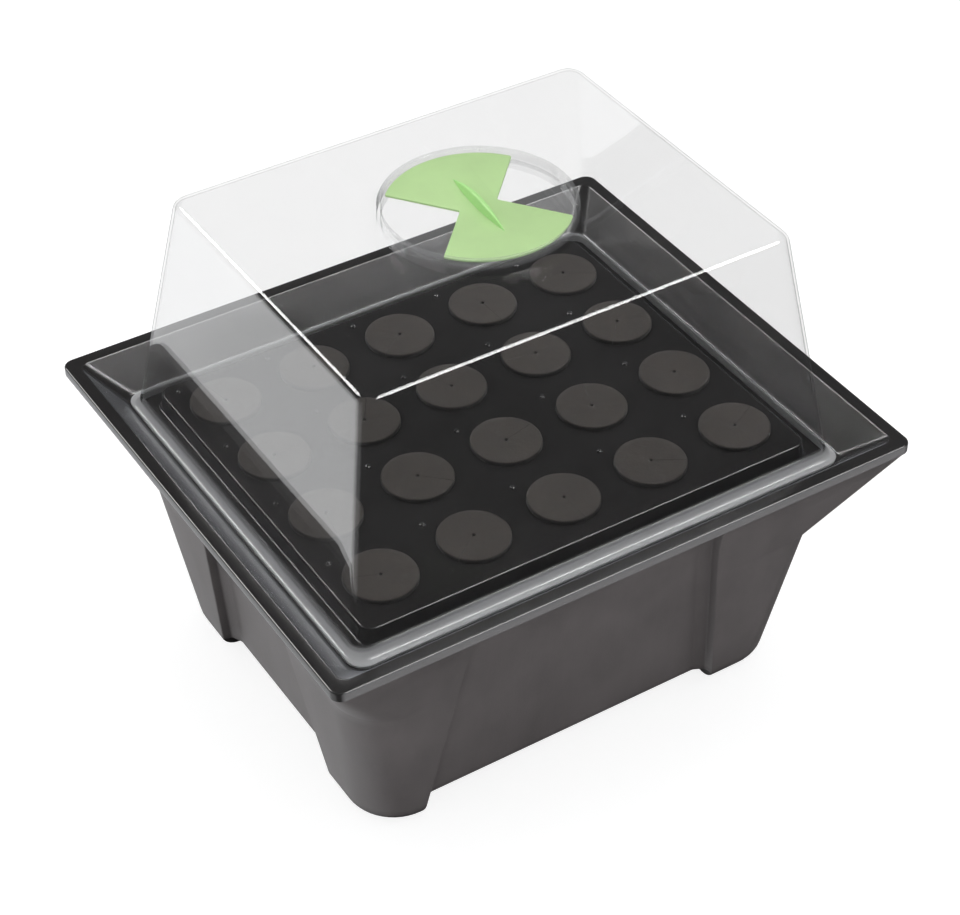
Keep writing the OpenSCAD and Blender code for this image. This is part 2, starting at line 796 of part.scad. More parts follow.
// A band round the two strands at the hank's right-hand end
module cable_tie() {
    mid = hank_at + [hank_r[0], hank_step, 0];
    inner = [cable_r + 0.7, cable_r + hank_step / 2 + 0.7];
    band = 1.3;
    color([0.9, 0.9, 0.88]) translate(mid) {
        difference() {
            block([-inner[0] - band, -inner[1] - band, -2.2], [inner[0] + band, inner[1] + band, 2.2]);
            block([-inner[0], -inner[1], -4], [inner[0], inner[1], 4]);
        }
        block([inner[0], -2.5, -3], [inner[0] + 5, 2.5, 3]);
    }
}

module plug_body() {
    covered = pin_l - pin_tip;
    color([0.07, 0.07, 0.07]) translate(plug_at) difference() {
        union() {
            rotate([90, 0, 0]) translate([0, 0, -plug_t / 2]) linear_extrude(plug_t) polygon([
                [-17.5, 0], [17.5, 0], [17.5, 8], [12, 20], [6, plug_h],
                [-6, plug_h], [-12, 20], [-17.5, 8]
            ]);
            for (side = [-1, 1]) {
                translate([side * pin_gap / 2, 0, -covered]) rod(pin_sleeve_r, covered + 1);
            }
        }
        translate([0, 0, plug_h - 5]) rod(cable_r + run, 6);
        for (side = [-1, 1]) {
            translate([side * pin_gap / 2, 0, -covered - 1]) rod(pin_core_r, covered + 1 + pin_root);
        }
    }
}

module plug_pins() {
    color([0.8, 0.8, 0.82]) for (side = [-1, 1]) translate(plug_at + [side * pin_gap / 2, 0, 0]) {
        translate([0, 0, -pin_l]) rod(pin_r, pin_tip);
        translate([0, 0, -pin_l + pin_tip - eps]) rod(pin_core_r, pin_l - pin_tip + pin_root + eps);
    }
}

tank();
tray();
for (s = SITES) collar(s);
dome();
vent_shutter();
vent_clip();
pump_body();
motor_core();
motor_coil();
rotor_shaft();
rotor_magnet();
impeller();
rear_bush();
front_bush();
volute_cover();
volute_seal();
flow_knob();
intake_grille();
intake_foam();
suction_feet();
riser_pipe();
manifold_hub();
branch_tee(-1);  // branch_tee_left
branch_tee(1);  // branch_tee_right
main_pipe(-1);  // main_pipe_left
main_pipe(1);  // main_pipe_right
cross_pipe(-1, -1);  // cross_pipe_front_left
cross_pipe(1, -1);  // cross_pipe_front_right
cross_pipe(-1, 1);  // cross_pipe_back_left
cross_pipe(1, 1);  // cross_pipe_back_right
end_caps();
spray_nozzles();
power_cable();
cable_grommet();
cable_tie();
plug_body();
plug_pins();
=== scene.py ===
import bpy
import bmesh
import math
from mathutils import Vector, Matrix, noise


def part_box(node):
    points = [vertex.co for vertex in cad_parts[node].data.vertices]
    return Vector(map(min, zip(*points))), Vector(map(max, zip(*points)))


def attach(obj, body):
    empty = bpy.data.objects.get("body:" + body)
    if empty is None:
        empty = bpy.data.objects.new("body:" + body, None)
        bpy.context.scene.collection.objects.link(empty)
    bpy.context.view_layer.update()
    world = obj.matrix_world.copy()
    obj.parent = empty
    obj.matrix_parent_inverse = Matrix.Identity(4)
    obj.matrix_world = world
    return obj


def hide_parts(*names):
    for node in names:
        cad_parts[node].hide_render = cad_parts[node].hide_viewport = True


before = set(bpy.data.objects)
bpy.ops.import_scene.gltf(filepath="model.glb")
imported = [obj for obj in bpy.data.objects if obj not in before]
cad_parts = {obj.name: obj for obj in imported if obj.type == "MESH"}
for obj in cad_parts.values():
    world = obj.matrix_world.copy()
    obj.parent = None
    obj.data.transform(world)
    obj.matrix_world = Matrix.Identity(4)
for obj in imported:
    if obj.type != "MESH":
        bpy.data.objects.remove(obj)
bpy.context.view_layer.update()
MM = 0.001

# ---- Sizes, in millimetres, from the frame ----

def box_mm(node):
    low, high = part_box(node)
    return low / MM, high / MM

# the tray's outer edge
RIM_X, RIM_Y, RIM_Z = box_mm("tray")[1]
# the tray's ledge, which the dome stands on, and the raised field that holds the collars
LEDGE_Z = box_mm("dome")[0].z
PLATE_Z = LEDGE_Z + 12
# the tank's rim, which the tray rests on
SEAT_Z = RIM_Z - 2.4
# how far the tank's walls come in for each millimetre down
TAPER = 0.1454
# the collars stand on a grid with this step
GRID = 5
COLLARS = sorted(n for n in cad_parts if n.startswith("collar_"))

def collar_centre(node):
    low, high = box_mm(node)
    return tuple(round((low[i] + high[i]) / 2 / GRID) * GRID for i in (0, 1))

# ---- Shape helpers: a shape is (points, faces) in millimetres until object_from() ----

def mix(a, b, t):
    return a * (1 - t) + b * t

def clamp(t):
    return max(0.0, min(1.0, t))

def smooth(t):
    t = clamp(t)
    return t * t * (3 - 2 * t)

def fillet(points, radii, steps=5, closed=False):
    """The same polyline with each corner rounded by its own radius.

    Points may hold more values after the first two; those are blended round the corner.
    """
    out, n = [], len(points)
    for i, p in enumerate(points):
        r = radii[i]
        if r <= 0 or (not closed and i in (0, n - 1)):
            out.append(tuple(p))
            continue
        a, c = points[i - 1], points[(i + 1) % n]
        p2, a2, c2 = Vector(p[:2]), Vector(a[:2]), Vector(c[:2])
        u, w = (a2 - p2), (c2 - p2)
        lu, lw = u.length, w.length
        u.normalize()
        w.normalize()
        angle = math.acos(max(-1, min(1, u.dot(w))))
        reach = min(r / math.tan(angle / 2), 0.48 * lu, 0.48 * lw)
        r = reach * math.tan(angle / 2)
        start, end = p2 + u * reach, p2 + w * reach
        middle = p2 + (u + w).normalized() * (r / math.sin(angle / 2))
        s0 = start - middle
        sweep = math.pi - angle
        turn = 1 if s0.cross(end - middle) > 0 else -1
        for k in range(steps + 1):
            t = k / steps
            ang = turn * sweep * t
            q = middle + Matrix.Rotation(ang, 2) @ s0
            extra = []
            for j in range(2, len(p)):
                first = mix(a[j], p[j], 1 - reach / lu)
                last = mix(p[j], c[j], reach / lw)
                extra.append(mix(first, last, t))
            out.append((q.x, q.y, *extra))
    return out

def ring(hx, hy, r, z, n=10):
    """A rounded rectangle at height z, anticlockwise from +X."""
    r = max(r, 0.05)
    out = []
    for q, (sx, sy) in enumerate(((1, 1), (-1, 1), (-1, -1), (1, -1))):
        for k in range(n + 1):
            a = math.radians(90 * (q + k / n))
            out.append((sx * (hx - r) + r * math.cos(a), sy * (hy - r) + r * math.sin(a), z))
    return out

def inset(d, r, z, n):
    """A rounded rectangle that follows the tray's edge, d inside it."""
    return ring(RIM_X - d, RIM_Y - d, r, z, n)

def with_sides(level, n, extra=18):
    """The same rounded rectangle with extra points along each straight side."""
    out = []
    for q in range(4):
        arc = level[q * (n + 1):(q + 1) * (n + 1)]
        nxt = level[((q + 1) * (n + 1)) % len(level)]
        out += arc
        for k in range(extra):
            t = (k + 1) / (extra + 1)
            out.append(tuple(mix(arc[-1][i], nxt[i], t) for i in range(3)))
    return out

def loft(levels, loop=False):
    """Quads between rings with equal counts: a loop returns to the first ring, else both ends are capped."""
    n, m = len(levels[0]), len(levels)
    faces = []
    for i in range(m if loop else m - 1):
        lower, upper = i * n, (i + 1) % m * n
        for j in range(n):
            k = (j + 1) % n
            faces.append((lower + j, lower + k, upper + k, upper + j))
    if not loop:
        faces.append(tuple(reversed(range(n))))
        faces.append(tuple(range((m - 1) * n, m * n)))
    return [p for level in levels for p in level], faces

# a radius that stands for the axis itself in a turned profile
AXIS = 0.01

def lathe(profile, n, at=(0, 0, 0)):
    """A (radius, z) profile turned about Z and capped at both ends."""
    turns = [2 * math.pi * k / n for k in range(n)]
    verts, faces = loft([[(r * math.cos(a), r * math.sin(a), z) for a in turns] for r, z in profile])
    return [(x + at[0], y + at[1], z + at[2]) for x, y, z in verts], faces

def join(*shapes):
    """Several shapes as one."""
    verts, faces = [], []
    for v, f in shapes:
        base = len(verts)
        verts += v
        faces += [tuple(i + base for i in face) for face in f]
    return verts, faces

def object_from(name, shape):
    """A Blender object, in metres, from a shape in millimetres."""
    verts, faces = shape
    mesh = bpy.data.meshes.new(name)
    mesh.from_pydata([(x * MM, y * MM, z * MM) for x, y, z in verts], [], faces)
    mesh.validate()
    bm = bmesh.new()
    bm.from_mesh(mesh)
    bmesh.ops.remove_doubles(bm, verts=bm.verts, dist=1e-6)
    bmesh.ops.recalc_face_normals(bm, faces=bm.faces)
    bm.to_mesh(mesh)
    bm.free()
    obj = bpy.data.objects.new(name, mesh)
    bpy.context.scene.collection.objects.link(obj)
    return obj

def cut_by(obj, tool, operation="DIFFERENCE"):
    """Booleans the object tool into obj, and removes it."""
    mod = obj.modifiers.new("cut", "BOOLEAN")
    mod.operation, mod.solver, mod.object = operation, "EXACT", tool
    depsgraph = bpy.context.evaluated_depsgraph_get()
    mesh = bpy.data.meshes.new_from_object(obj.evaluated_get(depsgraph))
    obj.modifiers.clear()
    old, obj.data = obj.data, mesh
    bpy.data.meshes.remove(old)
    bpy.data.objects.remove(tool)

def cut(obj, shape, operation="DIFFERENCE"):
    """Booleans a shape into obj."""
    cut_by(obj, object_from("tool", shape), operation)

def finish_piece(obj, body, material, replaces, angle):
    """Smooths obj up to the angle, paints it, and puts it on its body in place of the nodes it replaces."""
    mesh = obj.data
    mesh.polygons.foreach_set("use_smooth", [True] * len(mesh.polygons))
    mesh.set_sharp_from_angle(angle=math.radians(angle))
    mesh.materials.clear()
    mesh.materials.append(material)
    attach(obj, body)
    if replaces:
        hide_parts(*replaces)

# ---- Materials ----

# the upward part of a surface's direction where it begins to count as flat, and where it is flat
FLAT_TOP = (0.985, 0.999)

class Nodes:
    """A short way to write a node tree."""

    def __init__(self, name):
        self.material = bpy.data.materials.new(name)
        self.material.use_nodes = True
        self.tree = self.material.node_tree
        self.tree.nodes.clear()
        self.out = self.tree.nodes.new("ShaderNodeOutputMaterial")

    def add(self, kind, **values):
        node = self.tree.nodes.new("ShaderNode" + kind)
        for key, value in values.items():
            if hasattr(node, key) and key not in node.inputs:
                setattr(node, key, value)
            else:
                self.set(node, key.replace("_", " "), value)
        return node

    def set(self, node, key, value):
        """Links or sets an input, which is given by its name or its number."""
        socket = node.inputs[key]
        if isinstance(value, bpy.types.NodeSocket):
            self.tree.links.new(value, socket)
        else:
            socket.default_value = value

    def coords(self, scale=(1, 1, 1), turn=0.0):
        """Places on the object, stretched and turned about Z."""
        mapping = self.add("Mapping", Vector=self.add("TexCoord").outputs["Object"])
        mapping.inputs["Scale"].default_value = scale
        mapping.inputs["Rotation"].default_value = (0, 0, turn)
        return mapping.outputs["Vector"]

    def normal(self, axis):
        """One component of the surface's direction."""
        split = self.add("SeparateXYZ", Vector=self.add("NewGeometry").outputs["Normal"])
        return split.outputs[axis]

    def place(self, axis):
        """One component of the place on the object, in metres."""
        return self.add("SeparateXYZ", Vector=self.add("TexCoord").outputs["Object"]).outputs[axis]

    def noise(self, scale, detail, rough, vector):
        node = self.add("TexNoise", Scale=scale, Detail=detail, Roughness=rough, Vector=vector)
        return node.outputs["Fac"]

    def remap(self, value, low, high, to_low, to_high):
        node = self.add("MapRange", Value=value, From_Min=low, From_Max=high, To_Min=to_low, To_Max=to_high)
        return node.outputs["Result"]

    def ramp(self, value, stops):
        """A colour that runs from the first stop's to the second's."""
        node = self.add("ValToRGB", Fac=value)
        elements = node.color_ramp.elements
        for i, (position, color) in enumerate(stops):
            elements[i].position, elements[i].color = position, (*color, 1)
        return node.outputs["Color"]

    def bump(self, height, strength, distance):
        return self.add("Bump", Height=height, Strength=strength, Distance=distance).outputs["Normal"]

    def math(self, operation, a, b):
        node = self.add("Math", operation=operation)
        self.set(node, 0, a)
        self.set(node, 1, b)
        return node.outputs[0]

    def mixed(self, kind, share, first, second):
        """A mix of two colours or two shaders: share of the second over the first."""
        node = self.add(kind)
        for index, value in enumerate((share, first, second)):
            self.set(node, index, value)
        return node.outputs[0]

    def surface(self, socket):
        self.tree.links.new(socket, self.out.inputs["Surface"])
        return self.material


def rgb(r, g, b):
    """A colour read as 0-255 display values, as the linear numbers the renderer wants."""
    def lin(c):
        c /= 255
        return c / 12.92 if c <= 0.04045 else ((c + 0.055) / 1.055) ** 2.4
    return lin(r), lin(g), lin(b)


def shade(color, gain):
    return tuple(min(1.0, c * gain) for c in color)


def moulded(name, color, rough, grain, grain_depth, spread=0.12, rough_spread=0.08):
    """Moulded plastic: slightly uneven colour, fine surface grain, uneven gloss."""
    n = Nodes(name)
    where = n.coords()
    cloud = n.noise(22, 5, 0.6, where)
    fine = n.noise(grain, 2, 0.5, where)
    flow = n.noise(6, 3, 0.5, where)
    base = n.ramp(cloud, [(0.3, shade(color, 1 - spread)), (0.7, shade(color, 1 + spread))])
    roughness = n.remap(flow, 0.3, 0.7, rough - rough_spread, rough + rough_spread)
    normal = n.bump(fine, 0.35, grain_depth * MM)
    bsdf = n.add("BsdfPrincipled", Roughness=roughness, Normal=normal)
    n.set(bsdf, "Base Color", base)
    return n.surface(bsdf.outputs[0])


def tank_material():
    """Grey sheet: a pebbled grain, faint vertical draw marks from forming, and painted shade that darkens
    its hollows.
    """
    n = Nodes("tank_grey_textured")
    where = n.coords()
    cloud = n.noise(14, 6, 0.65, where)
    draw = n.noise(60, 4, 0.6, n.coords(scale=(1, 1, 0.12)))
    pebble = n.add("TexVoronoi", Scale=620.0, Vector=where)
    fine = n.noise(1500, 3, 0.6, where)
    tone = n.math("ADD", n.math("MULTIPLY", cloud, 0.7), n.math("MULTIPLY", draw, 0.3))
    sheet = n.ramp(tone, [(0.32, rgb(94, 90, 90)), (0.68, rgb(110, 105, 105))])
    # painted shade: ambient occlusion darkens the colour and dims the gloss in steps, grooves and corners
    hollow_occlusion_shade = n.add("AmbientOcclusion", Distance=16 * MM)
    hollow_occlusion_shade.samples = 8
    unshaded_share = n.remap(hollow_occlusion_shade.outputs["AO"], 0.5, 0.96, 0.1, 1.0)
    base = n.mixed("MixRGB", unshaded_share, (*rgb(20, 19, 19), 1), sheet)
    grain = n.math("ADD", n.math("MULTIPLY", pebble.outputs["Distance"], 0.6), n.math("MULTIPLY", fine, 0.4))
    normal = n.bump(grain, 0.5, 0.12 * MM)
    bsdf = n.add("BsdfPrincipled", Roughness=n.remap(cloud, 0.3, 0.7, 0.46, 0.58), Normal=normal)
    n.set(bsdf, "Base Color", base)
    n.set(bsdf, "Specular IOR Level", n.math("MULTIPLY", unshaded_share, 0.45))
    return n.surface(bsdf.outputs[0])


def tray_material():
    """Glossy black sheet: smooth skin, very shallow waviness, hairline scuffs.

    Its near edge face is painted a lighter grey as a painted reflection, and its colour is painted paler
    towards grazing as a painted sheen. Its flat tops mirror less, and it is rougher to mirrored
    rays than to the camera, which keeps its corners free of speckle.
    """
    n = Nodes("tray_black_gloss")
    where = n.coords()
    wave = n.noise(9, 3, 0.5, where)
    skin = n.noise(700, 3, 0.6, where)
    scuff = n.noise(90, 6, 0.7, n.coords(scale=(1, 14, 1), turn=0.6))
    dark = n.ramp(wave, [(0.3, rgb(38, 37, 37)), (0.7, rgb(46, 45, 45))])
    # painted sheen: the colour turns pale blue-grey towards grazing, standing in for reflected light
    grazing = n.math("POWER", n.add("LayerWeight", Blend=0.5).outputs["Facing"], 6.0)
    painted_grazing_sheen = n.mixed("MixRGB", grazing, dark, (0.46, 0.48, 0.52, 1))
    # painted reflection: the front edge face, which faces the camera, is painted a lighter grey
    faces_near = n.remap(n.normal("Y"), -0.5, -0.9, 0.0, 1.0)
    on_edge = n.remap(n.place("Y"), (1 - RIM_Y) * MM, -RIM_Y * MM, 0.0, 1.0)
    near_edge_painted_light = n.math("MULTIPLY", faces_near, on_edge)
    base = n.mixed("MixRGB", near_edge_painted_light, painted_grazing_sheen, (*rgb(128, 127, 128), 1))
    rough = n.math("ADD", n.remap(scuff, 0.3, 0.8, 0.2, 0.215), n.remap(wave, 0.3, 0.7, -0.01, 0.02))
    echo = n.math("MULTIPLY", n.add("LightPath").outputs["Is Glossy Ray"], 0.4)
    normal = n.bump(skin, 0.02, 0.02 * MM)
    bsdf = n.add("BsdfPrincipled", Roughness=n.math("ADD", rough, echo), Normal=normal)
    n.set(bsdf, "Base Color", base)
    n.set(bsdf, "Specular IOR Level", n.remap(n.normal("Z"), *FLAT_TOP, 0.5, 0.12))
    return n.surface(bsdf.outputs[0])


def foam_material():
    """Closed-cell foam: small cells, a soft sheen, uneven tone, and painted shade on its sides."""
    n = Nodes("collar_foam_cells")
    where = n.coords()
    cells = n.add("TexVoronoi", Scale=520.0, Vector=where)
    tone = n.noise(70, 5, 0.65, where)
    fine = n.noise(1300, 4, 0.7, where)
    top = n.ramp(tone, [(0.3, rgb(42, 38, 35)), (0.72, rgb(57, 52, 48))])
    # painted shade: faces that turn away from the top are painted darker
    lit_top_share = n.remap(n.normal("Z"), 0.3, 0.9, 0.0, 1.0)
    base = n.mixed("MixRGB", lit_top_share, (*rgb(22, 21, 20), 1), top)
    height = n.math("ADD", n.math("MULTIPLY", cells.outputs["Distance"], 0.8), n.math("MULTIPLY", fine, 0.3))
    normal = n.bump(height, 0.5, 0.2 * MM)
    bsdf = n.add("BsdfPrincipled", Roughness=n.remap(tone, 0.3, 0.7, 0.72, 0.88), Normal=normal)
    n.set(bsdf, "Base Color", base)
    bsdf.inputs["Sheen Weight"].default_value = 0.15
    bsdf.inputs["Sheen Roughness"].default_value = 0.5
    return n.surface(bsdf.outputs[0])


def dome_material():
    """Thin clear sheet: see-through, and more of a mirror towards grazing and on its left wall.

    Its flat roof mirrors less. It is hazier at its thick foot and on the vent's seat.
    """
    n = Nodes("dome_clear")
    where = n.coords()
    wave = n.noise(7, 2, 0.5, where)
    streak = n.noise(35, 4, 0.6, where)
    normal = n.bump(wave, 0.12, 1.5 * MM)
    facing = n.add("LayerWeight", Blend=0.5).outputs["Facing"]
    edge = n.math("POWER", facing, 5.0)
    clear = n.add("BsdfTransparent")
    n.set(clear, "Color", n.ramp(edge, [(0.3, (0.957, 0.957, 0.957)), (1.0, (0.66, 0.67, 0.68))]))
    mirror = n.add("BsdfGlossy", Roughness=n.remap(streak, 0.3, 0.7, 0.02, 0.05), Normal=normal)
    n.set(mirror, "Color", (1, 1, 1, 1))
    left_wall = n.add("VectorMath", operation="DOT_PRODUCT")
    n.set(left_wall, 0, n.add("NewGeometry").outputs["Normal"])
    n.set(left_wall, 1, (-0.987, 0, 0.159))
    left = n.remap(left_wall.outputs["Value"], 0.97, 0.995, 0.0, 0.14)
    flat = n.remap(n.normal("Z"), *FLAT_TOP, 1.0, 0.3)
    sheen = n.math("ADD", n.math("MULTIPLY", edge, 0.6), 0.028)
    share = n.math("ADD", n.math("MULTIPLY", sheen, flat), left)
    haze = n.add("BsdfDiffuse")
    n.set(haze, "Color", (0.86, 0.87, 0.88, 1))
    height = n.place("Z")
    foot = n.remap(height, (LEDGE_Z + 10) * MM, (LEDGE_Z + 6) * MM, 0.0, 0.5)
    seat = n.remap(height, (LEDGE_Z + 181) * MM, (LEDGE_Z + 182) * MM, 0.0, 0.07)
    dust = n.remap(streak, 0.3, 0.75, 0.001, 0.005)
    cloudy = n.math("ADD", dust, n.math("ADD", foot, seat))
    film = n.mixed("MixShader", cloudy, clear.outputs[0], haze.outputs[0])
    return n.surface(n.mixed("MixShader", share, film, mirror.outputs[0]))


def green_material(name, color, through=0.25):
    """Green moulding that lets a little light through."""
    n = Nodes(name)
    where = n.coords()
    tone = n.noise(30, 4, 0.5, where)
    fine = n.noise(900, 3, 0.5, where)
    base = n.ramp(tone, [(0.3, shade(color, 0.96)), (0.7, shade(color, 1.04))])
    normal = n.bump(fine, 0.3, 0.03 * MM)
    bsdf = n.add("BsdfPrincipled", Roughness=n.remap(tone, 0.3, 0.7, 0.42, 0.5), Normal=normal)
    n.set(bsdf, "Base Color", base)
    glow = n.add("BsdfTranslucent")
    n.set(glow, "Color", base)
    return n.surface(n.mixed("MixShader", through, bsdf.outputs[0], glow.outputs[0]))


def metal(name, color, rough, layers=1):
    """Bare metal; more layers draw its grain out into flat sheets."""
    n = Nodes(name)
    lines = n.noise(400, 4, 0.6, n.coords(scale=(1, 1, layers)))
    base = n.ramp(lines, [(0.3, shade(color, 0.85)), (0.7, shade(color, 1.1))])
    roughness = n.remap(lines, 0.3, 0.7, rough - 0.06, rough + 0.08)
    normal = n.bump(lines, 0.2, 0.03 * MM)
    bsdf = n.add("BsdfPrincipled", Roughness=roughness, Metallic=1.0, Normal=normal)
    n.set(bsdf, "Base Color", base)
    return n.surface(bsdf.outputs[0])


def winding_material():
    """Enamelled copper wire wound round the core: fine parallel turns."""
    n = Nodes("copper_winding")
    wave = n.add("TexWave", Scale=900.0, Distortion=0.6, Detail=2.0, Vector=n.coords())
    wave.wave_type, wave.bands_direction = "BANDS", "X"
    base = n.ramp(wave.outputs["Fac"], [(0.0, rgb(92, 45, 22)), (1.0, rgb(205, 125, 66))])
    normal = n.bump(wave.outputs["Fac"], 0.6, 0.2 * MM)
    bsdf = n.add("BsdfPrincipled", Roughness=0.3, Metallic=0.8, Normal=normal)
    n.set(bsdf, "Base Color", base)
    return n.surface(bsdf.outputs[0])


MATS = {
    "tank": tank_material(),
    "tray": tray_material(),
    "foam": foam_material(),
    "dome": dome_material(),
    "green": green_material("vent_green_light", rgb(208, 240, 176)),
    # the ridge and clip green is darker, partly for thicker plastic and partly as painted shade
    "ridge": green_material("vent_green_ridge_thick_and_shaded", rgb(186, 240, 154), 0.1),
    "pump": moulded("pump_black_moulded", rgb(30, 31, 33), 0.4, 800, 0.03),
    "pipe": moulded("pipe_black_extruded", rgb(38, 38, 41), 0.34, 500, 0.02),
    "rubber": moulded("rubber_black_matte", rgb(28, 28, 28), 0.75, 600, 0.05),
    "cable": moulded("cable_black_sheath", rgb(24, 24, 25), 0.42, 700, 0.02),
    "red": moulded("red_moulded", rgb(178, 46, 36), 0.38, 700, 0.02),
    "blue": moulded("impeller_blue_moulded", rgb(52, 92, 158), 0.36, 700, 0.02),
    "white": moulded("tie_white_nylon", rgb(226, 226, 220), 0.4, 600, 0.02),
    "ceramic": moulded("shaft_ceramic_polished", rgb(234, 232, 222), 0.15, 500, 0.005, 0.03, 0.03),
    "ferrite": moulded("magnet_ferrite_dull", rgb(58, 55, 56), 0.6, 900, 0.05),
    "sponge": moulded("filter_foam_open", rgb(46, 54, 74), 0.9, 350, 0.9, 0.3),
    "steel": metal("core_steel_laminated", (0.45, 0.45, 0.47), 0.38, 21),
    "nickel": metal("pins_nickel_plated", (0.75, 0.74, 0.72), 0.2),
    "copper": winding_material(),
}

CAD_LOOKS = {
    "motor_core": "steel", "motor_coil": "copper", "rotor_shaft": "ceramic", "rotor_magnet": "ferrite",
    "impeller": "blue", "rear_bush": "rubber", "front_bush": "rubber", "volute_seal": "rubber",
    "suction_feet": "rubber", "cable_grommet": "rubber", "flow_knob": "red", "spray_nozzles": "red",
    "intake_foam": "sponge", "cable_tie": "white", "plug_pins": "nickel", "vent_clip": "ridge",
    "riser_pipe": "pipe", "power_cable": "cable", "plug_body": "cable",
}
# the CAD's own shapes that still show get a material each
for node_name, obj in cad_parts.items():
    look = CAD_LOOKS.get(node_name)
    if look is None:
        look = "pipe" if "_pipe" in node_name else "pump"
    obj.data.materials.clear()
    obj.data.materials.append(MATS[look])

# ---- Tank ----

# the sheet's thickness, and the radius of the foot's rounding
TANK_T = 2.6
FOOT_R = 12
# the walls turn outwards from here up to the rim
FLARE_Z, FLARE_TOP = 125.0, RIM_Z - 7.6
# the sunk panels: their shift along X, depth, the width of their stepped edge, half lengths at the floor
PANEL_SHIFT, PANEL_IN, PANEL_W = -11.0, 10.5, 9.5
PANEL_X, PANEL_Y = 121, 79
# the height of the channels under the tank
CHANNEL_H = 10
# how many faces each rounded corner has
CORNER_STEPS = 12

def wall_in(z):
    """How far a straight wall stands inside the tray's edge at height z."""
    return 26.4 + TAPER * (RIM_Z - 25 - z)

def flare_at(z):
    """How far through the flare height z is, from 0 to 1."""
    return clamp((z - FLARE_Z) / (FLARE_TOP - FLARE_Z))

def side_in(z):
    """How far a side stands inside the tray's edge, with its curved flare."""
    return wall_in(z) - (wall_in(FLARE_TOP) - 0.8) * flare_at(z) ** 3.8

def corner_in(z):
    """The same at the corners, whose flare is straight."""
    return wall_in(z) if z < FLARE_Z else mix(wall_in(FLARE_Z), 0.8, flare_at(z))

def foot_in(z):
    """How far the rounded foot comes in."""
    return FOOT_R - math.sqrt(FOOT_R ** 2 - (FOOT_R - z) ** 2) if z < FOOT_R else 0.0

def panel_cut(z):
    """How deep the panels are sunk; they run out below the rim."""
    if z > FLARE_TOP - 1:
        return 0.0
    base = mix(PANEL_IN, 7.6, smooth((z - 168) / 14))
    return base * (1 - smooth((z - 193) / 8))

STEP_CORNERS = [(-30, 0), (0, 0), (1.7, 6.6), (PANEL_W, PANEL_IN), (PANEL_W + 30, PANEL_IN)]
STEP = fillet(STEP_CORNERS, [0, 1.2, 2.5, 7, 0])[1:-1]

def panel_side(half, cut_depth):
    """(along, inset) points of one side, from +half to -half about the panel's centre."""
    edge = [(half - s, -0.05 + d / PANEL_IN * cut_depth) for s, d in STEP]
    middle = [(half * t, cut_depth - 0.05) for t in (0.55, 0.2)]
    side = edge + middle
    return side + [(-a, d) for a, d in reversed(side)]

def tank_ring(z, t):
    """The tank's outline at height z, moved in by the sheet's thickness t."""
    n = CORNER_STEPS
    foot = foot_in(max(z - t, 0))
    hx, hy = RIM_X - side_in(z) - foot - t, RIM_Y - side_in(z) - foot - t
    cx, cy = RIM_X - corner_in(z) - foot - t, RIM_Y - corner_in(z) - foot - t
    r = max(mix(36, 8, flare_at(z)) - foot - t, 1)
    cut_depth = panel_cut(z)
    px, py = mix(PANEL_X, 96, z / 180) + 0.8 * t, mix(PANEL_Y, 48, z / 180) + 0.8 * t
    px = min(px, cx - r + PANEL_SHIFT - 1.6)
    across, down = panel_side(px, cut_depth), panel_side(py, cut_depth)
    corners = []
    for q, (sx, sy) in enumerate(((1, 1), (-1, 1), (-1, -1), (1, -1))):
        arc = []
        for k in range(n + 1):
            a = math.radians(90 * (q + k / n))
            arc.append((sx * (cx - r) + r * math.cos(a), sy * (cy - r) + r * math.sin(a), z))
        corners.append(arc)
    out = list(corners[0])
    out += [(PANEL_SHIFT + a, hy - d, z) for a, d in across]
    out += corners[1]
    out += [(-hx + d, a, z) for a, d in down]
    out += corners[2]
    out += [(PANEL_SHIFT - a, d - hy, z) for a, d in across]
    out += corners[3]
    out += [(hx - d, -a, z) for a, d in down]
    return out

def tank_levels(t, low, top):
    """Rings from the tank's floor at height low to its rim at height top."""
    heights = [low] + [z for z in (0.4, 1, 2, 3, 4.5, 6, 8, 10, FOOT_R) if z > low + 0.2]
    heights += [30, 50, 70, 90, 107, 118] + [FLARE_Z + 4 * k for k in range(19)] + [200.2]
    levels = [tank_ring(z, t) for z in heights]
    side_points = len(levels[0]) // 4 - (CORNER_STEPS + 1)
    def rim(d, r, z):
        return with_sides(inset(d, r, z, CORNER_STEPS), CORNER_STEPS, side_points)
    if t == 0:
        levels += [rim(0.8, 8, FLARE_TOP), rim(1.4, 7.6, FLARE_TOP + 0.25)]
        levels += [rim(3.3, 5.5, FLARE_TOP + 0.3), rim(3.3, 5.5, top)]
    else:
        levels += [rim(3.3 + t, 5, FLARE_TOP + 0.2), rim(3.3 + t, 3.5, top)]
    return levels

def slab(centre_x, half_x, half_y, top):
    """A block with rounded top edges, reaching below the floor."""
    r = 3.0
    path = [(0, -5)]
    for a in range(0, 91, 18):
        path.append((r - r * math.cos(math.radians(a)), top - r + r * math.sin(math.radians(a))))
    levels = [[(centre_x + x, y, z) for x, y, z in ring(half_x - d, half_y - d, 0.5, z, 2)] for d, z in path]
    return loft(levels)

def cut_channels(obj, t):
    """The two crossed channels under the tank, t wider and higher than the outer sheet's."""
    cut(obj, slab(PANEL_SHIFT, PANEL_X + t, RIM_Y, CHANNEL_H + t))
    cut(obj, slab(0, RIM_X, PANEL_Y + t, CHANNEL_H + t))

